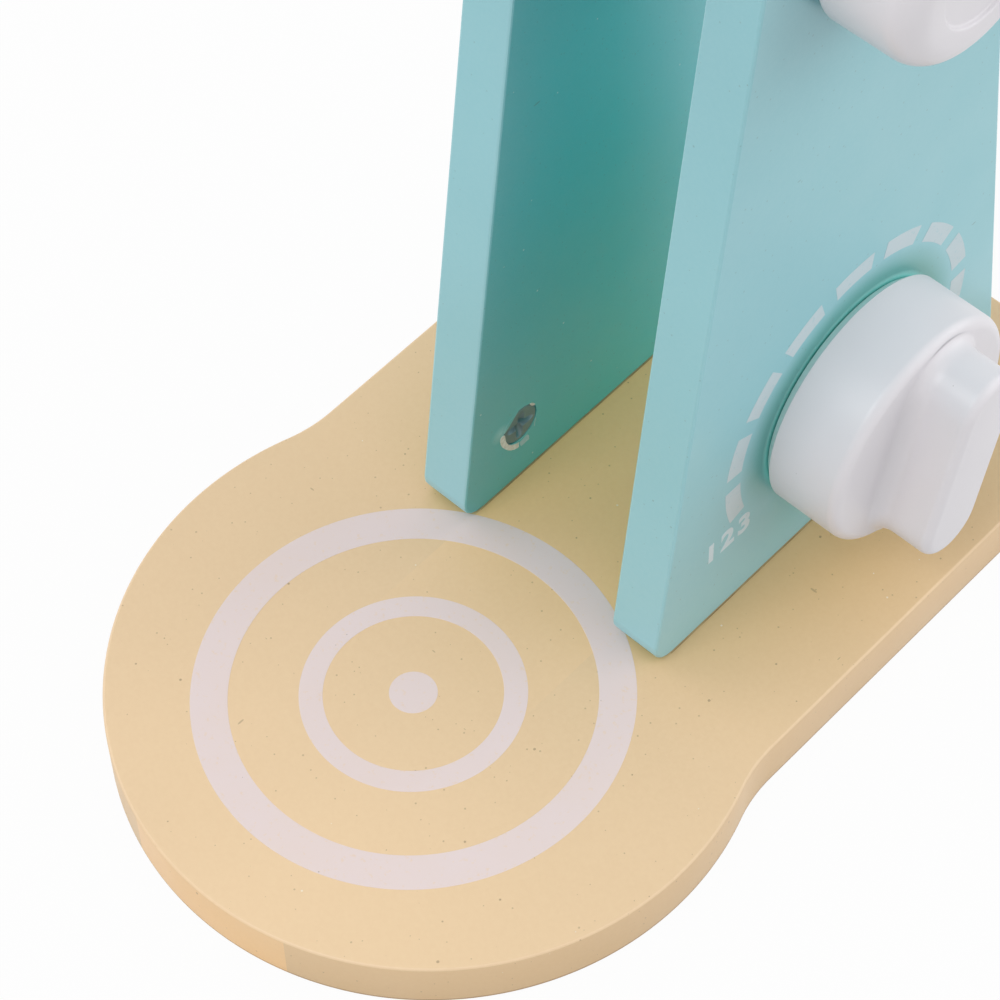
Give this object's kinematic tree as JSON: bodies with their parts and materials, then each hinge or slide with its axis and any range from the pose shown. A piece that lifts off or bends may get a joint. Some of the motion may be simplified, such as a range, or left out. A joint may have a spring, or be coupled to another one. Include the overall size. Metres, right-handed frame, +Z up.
{
  "type": "toy stand mixer",
  "caption": "Painted wooden toy stand mixer: round-front base, two side panels, head that tilts between them on a dowel, balloon whisk that turns in the head, and a dial with a bar grip.",
  "frame": {"origin": "on the underside of the base board, below the centre of the place for the bowl", "axes": "+Z up, +Y to the back of the mixer, +X to its right seen from the front; the head is raised at rest and the whisk points to the front"},
  "size_m": [0.155, 0.2523, 0.367],
  "materials": {
    "base_cream_paint": "painted board, satin cream",
    "mint_paint": "painted board, satin grey mint",
    "white_paint": "painted turned wood, satin white",
    "bare_beech": "fine sanded bare beech",
    "bright_steel": "bright drawn",
    "grey_zinc": "dull die-cast zinc",
    "brass": "machined",
    "white_nylon": "moulded nylon",
    "grey_felt": "pressed felt"
  },
  "bodies": {
    "column": {"base_board": "base_cream_paint", "left_side_panel": "mint_paint", "right_side_panel": "mint_paint", "stop_rail": "mint_paint", "left_rail_dowel": "bare_beech", "right_rail_dowel": "bare_beech", "left_foot_dowel": "bare_beech", "right_foot_dowel": "bare_beech", "left_front_cam_bolt": "bright_steel", "left_rear_cam_bolt": "bright_steel", "right_front_cam_bolt": "bright_steel", "right_rear_cam_bolt": "bright_steel", "left_front_cam_lock": "grey_zinc", "left_rear_cam_lock": "grey_zinc", "right_front_cam_lock": "grey_zinc", "right_rear_cam_lock": "grey_zinc", "left_head_washer": "white_nylon", "right_head_washer": "white_nylon", "left_knob_washer": "grey_felt", "right_knob_washer": "grey_felt", "dial_friction_washer": "grey_felt", "dial_plain_washer": "bright_steel"},
    "head": {"head_block": "mint_paint", "pivot_dowel": "bare_beech", "left_pivot_knob": "white_paint", "right_pivot_knob": "white_paint", "head_lock_screw": "bright_steel", "upper_bush": "white_nylon", "lower_bush": "white_nylon"},
    "whisk": {"whisk_spindle": "bright_steel", "turning_knob": "white_paint", "whisk_handle": "bare_beech", "turning_knob_pin": "bright_steel", "whisk_handle_pin": "bright_steel", "whisk_loop_1": "bright_steel", "whisk_loop_2": "bright_steel", "whisk_loop_3": "bright_steel", "whisk_loop_4": "bright_steel"},
    "dial": {"dial_knob": "white_paint", "dial_insert": "brass", "dial_bolt": "bright_steel"}
  },
  "joints": [
    {"name": "head_tilt", "type": "hinge", "parent": "column", "child": "head", "pos_m": [0, 0.105, 0.22], "axis": [1, 0, 0], "range_deg": [0, 90]},
    {"name": "whisk_spin", "type": "hinge", "parent": "head", "child": "whisk", "pos_m": [0, 0.105, 0.325], "axis": [0, -1, 0], "continuous": true},
    {"name": "dial_turn", "type": "hinge", "parent": "column", "child": "dial", "pos_m": [0.0372, 0.108, 0.0619], "axis": [1, 0, 0], "range_deg": [-85, 116]}
  ]
}
